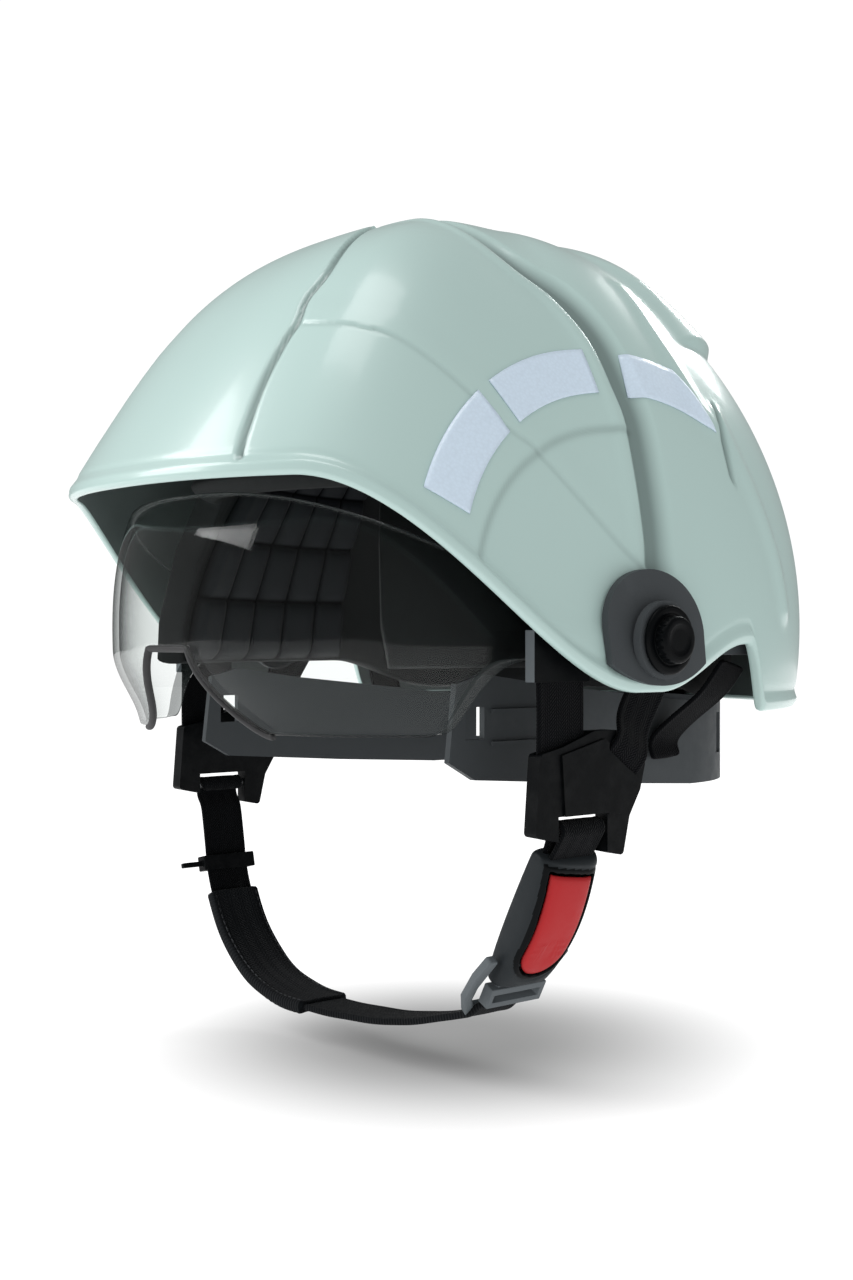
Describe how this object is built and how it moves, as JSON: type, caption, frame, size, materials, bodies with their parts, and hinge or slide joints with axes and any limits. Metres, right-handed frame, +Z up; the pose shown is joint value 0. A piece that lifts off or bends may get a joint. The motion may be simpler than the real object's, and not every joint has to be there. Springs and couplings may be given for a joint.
{
  "type": "hard hat",
  "caption": "Pale green rescue hard hat with a drop-down clear eye shield, reflective strips, ratchet nape cradle and a buckled chin strap.",
  "frame": {"origin": "On the centre plane, level with the middle of the front brim, below the crown axis.", "axes": "+Z up towards the crown, -Y the way the wearer faces, +X the wearer's left."},
  "size_m": [0.2506, 0.2714, 0.293],
  "materials": {
    "shell_paint": "glossy",
    "foam_liner": "matte",
    "pad_cloth": "matte",
    "reflective_film": "satin",
    "black_plastic": "satin",
    "charcoal_plastic": "satin",
    "grey_plastic": "satin",
    "clear_lens": "clear",
    "soft_rubber": "matte",
    "bare_steel": "brushed",
    "webbing": "woven",
    "sleeve_cloth": "woven",
    "red_plastic": "satin"
  },
  "bodies": {
    "helmet": {"shell": "shell_paint", "impact_liner": "foam_liner", "temple_pads": "pad_cloth", "brow_pad": "pad_cloth", "crown_pad": "pad_cloth", "reflective_strips": "reflective_film", "pivot_covers": "charcoal_plastic", "front_strap_clips": "charcoal_plastic", "rear_strap_clips": "charcoal_plastic", "front_straps": "webbing", "rear_straps": "webbing", "divider_left": "black_plastic", "divider_right": "black_plastic", "divider_bars": "bare_steel", "cradle_straps": "webbing", "nape_cradle": "charcoal_plastic", "nape_pad": "pad_cloth", "ratchet_cover": "charcoal_plastic", "ratchet_cover_screws": "bare_steel"},
    "shield": {"lens": "clear_lens", "nose_guard": "soft_rubber", "shield_arms": "charcoal_plastic", "arm_rivets": "bare_steel", "pivot_shafts": "bare_steel", "pivot_knobs": "black_plastic"},
    "ratchet": {"ratchet_pinion": "charcoal_plastic", "ratchet_knob": "black_plastic"},
    "rack_l": {"rack_left": "charcoal_plastic"},
    "rack_r": {"rack_right": "charcoal_plastic"},
    "buckle": {"buckle_web_loop": "webbing", "buckle_housing": "charcoal_plastic", "button_spring": "bare_steel"},
    "button": {"release_button": "red_plastic"},
    "chin_strap": {"chin_web_right": "webbing", "chin_sleeve": "sleeve_cloth", "tongue": "grey_plastic", "strap_adjuster": "grey_plastic", "chin_web_left": "webbing"},
    "keeper": {"length_slider": "black_plastic"}
  },
  "joints": [
    {"name": "shield_tilt", "type": "hinge", "parent": "helmet", "child": "shield", "pos_m": [0, -0.015, -0.051], "axis": [-1, 0, 0], "range_deg": [0, 45]},
    {"name": "ratchet_turn", "type": "hinge", "parent": "helmet", "child": "ratchet", "pos_m": [0, 0.112, -0.089], "axis": [0, 1, 0], "range_deg": [-60, 60]},
    {"name": "rack_left_slide", "type": "slide", "parent": "helmet", "child": "rack_l", "axis": [1, 0, 0], "range_m": [-0.0063, 0.0063]},
    {"name": "rack_right_slide", "type": "slide", "parent": "helmet", "child": "rack_r", "axis": [-1, 0, 0], "range_m": [-0.0063, 0.0063]},
    {"name": "buckle_swing", "type": "hinge", "parent": "helmet", "child": "buckle", "pos_m": [0.103, -0.038, -0.11], "axis": [0, -1, 0], "range_deg": [0, 60]},
    {"name": "button_press", "type": "slide", "parent": "buckle", "child": "button", "axis": [-0.8829, 0, 0.4695], "range_m": [0, 0.002], "stiffness_N_per_m": 400},
    {"name": "chin_strap_swing", "type": "hinge", "parent": "helmet", "child": "chin_strap", "pos_m": [-0.103, -0.038, -0.11], "axis": [0, 1, 0], "range_deg": [0, 60]},
    {"name": "keeper_slide", "type": "hinge", "parent": "chin_strap", "child": "keeper", "pos_m": [-0.039, -0.038, -0.128], "axis": [0, 1, 0], "range_deg": [-3, 4]}
  ],
  "couplings": [
    {"joint": "rack_left_slide", "follows": "ratchet_turn", "m_per_rad": 0.006},
    {"joint": "rack_right_slide", "follows": "ratchet_turn", "m_per_rad": 0.006}
  ]
}
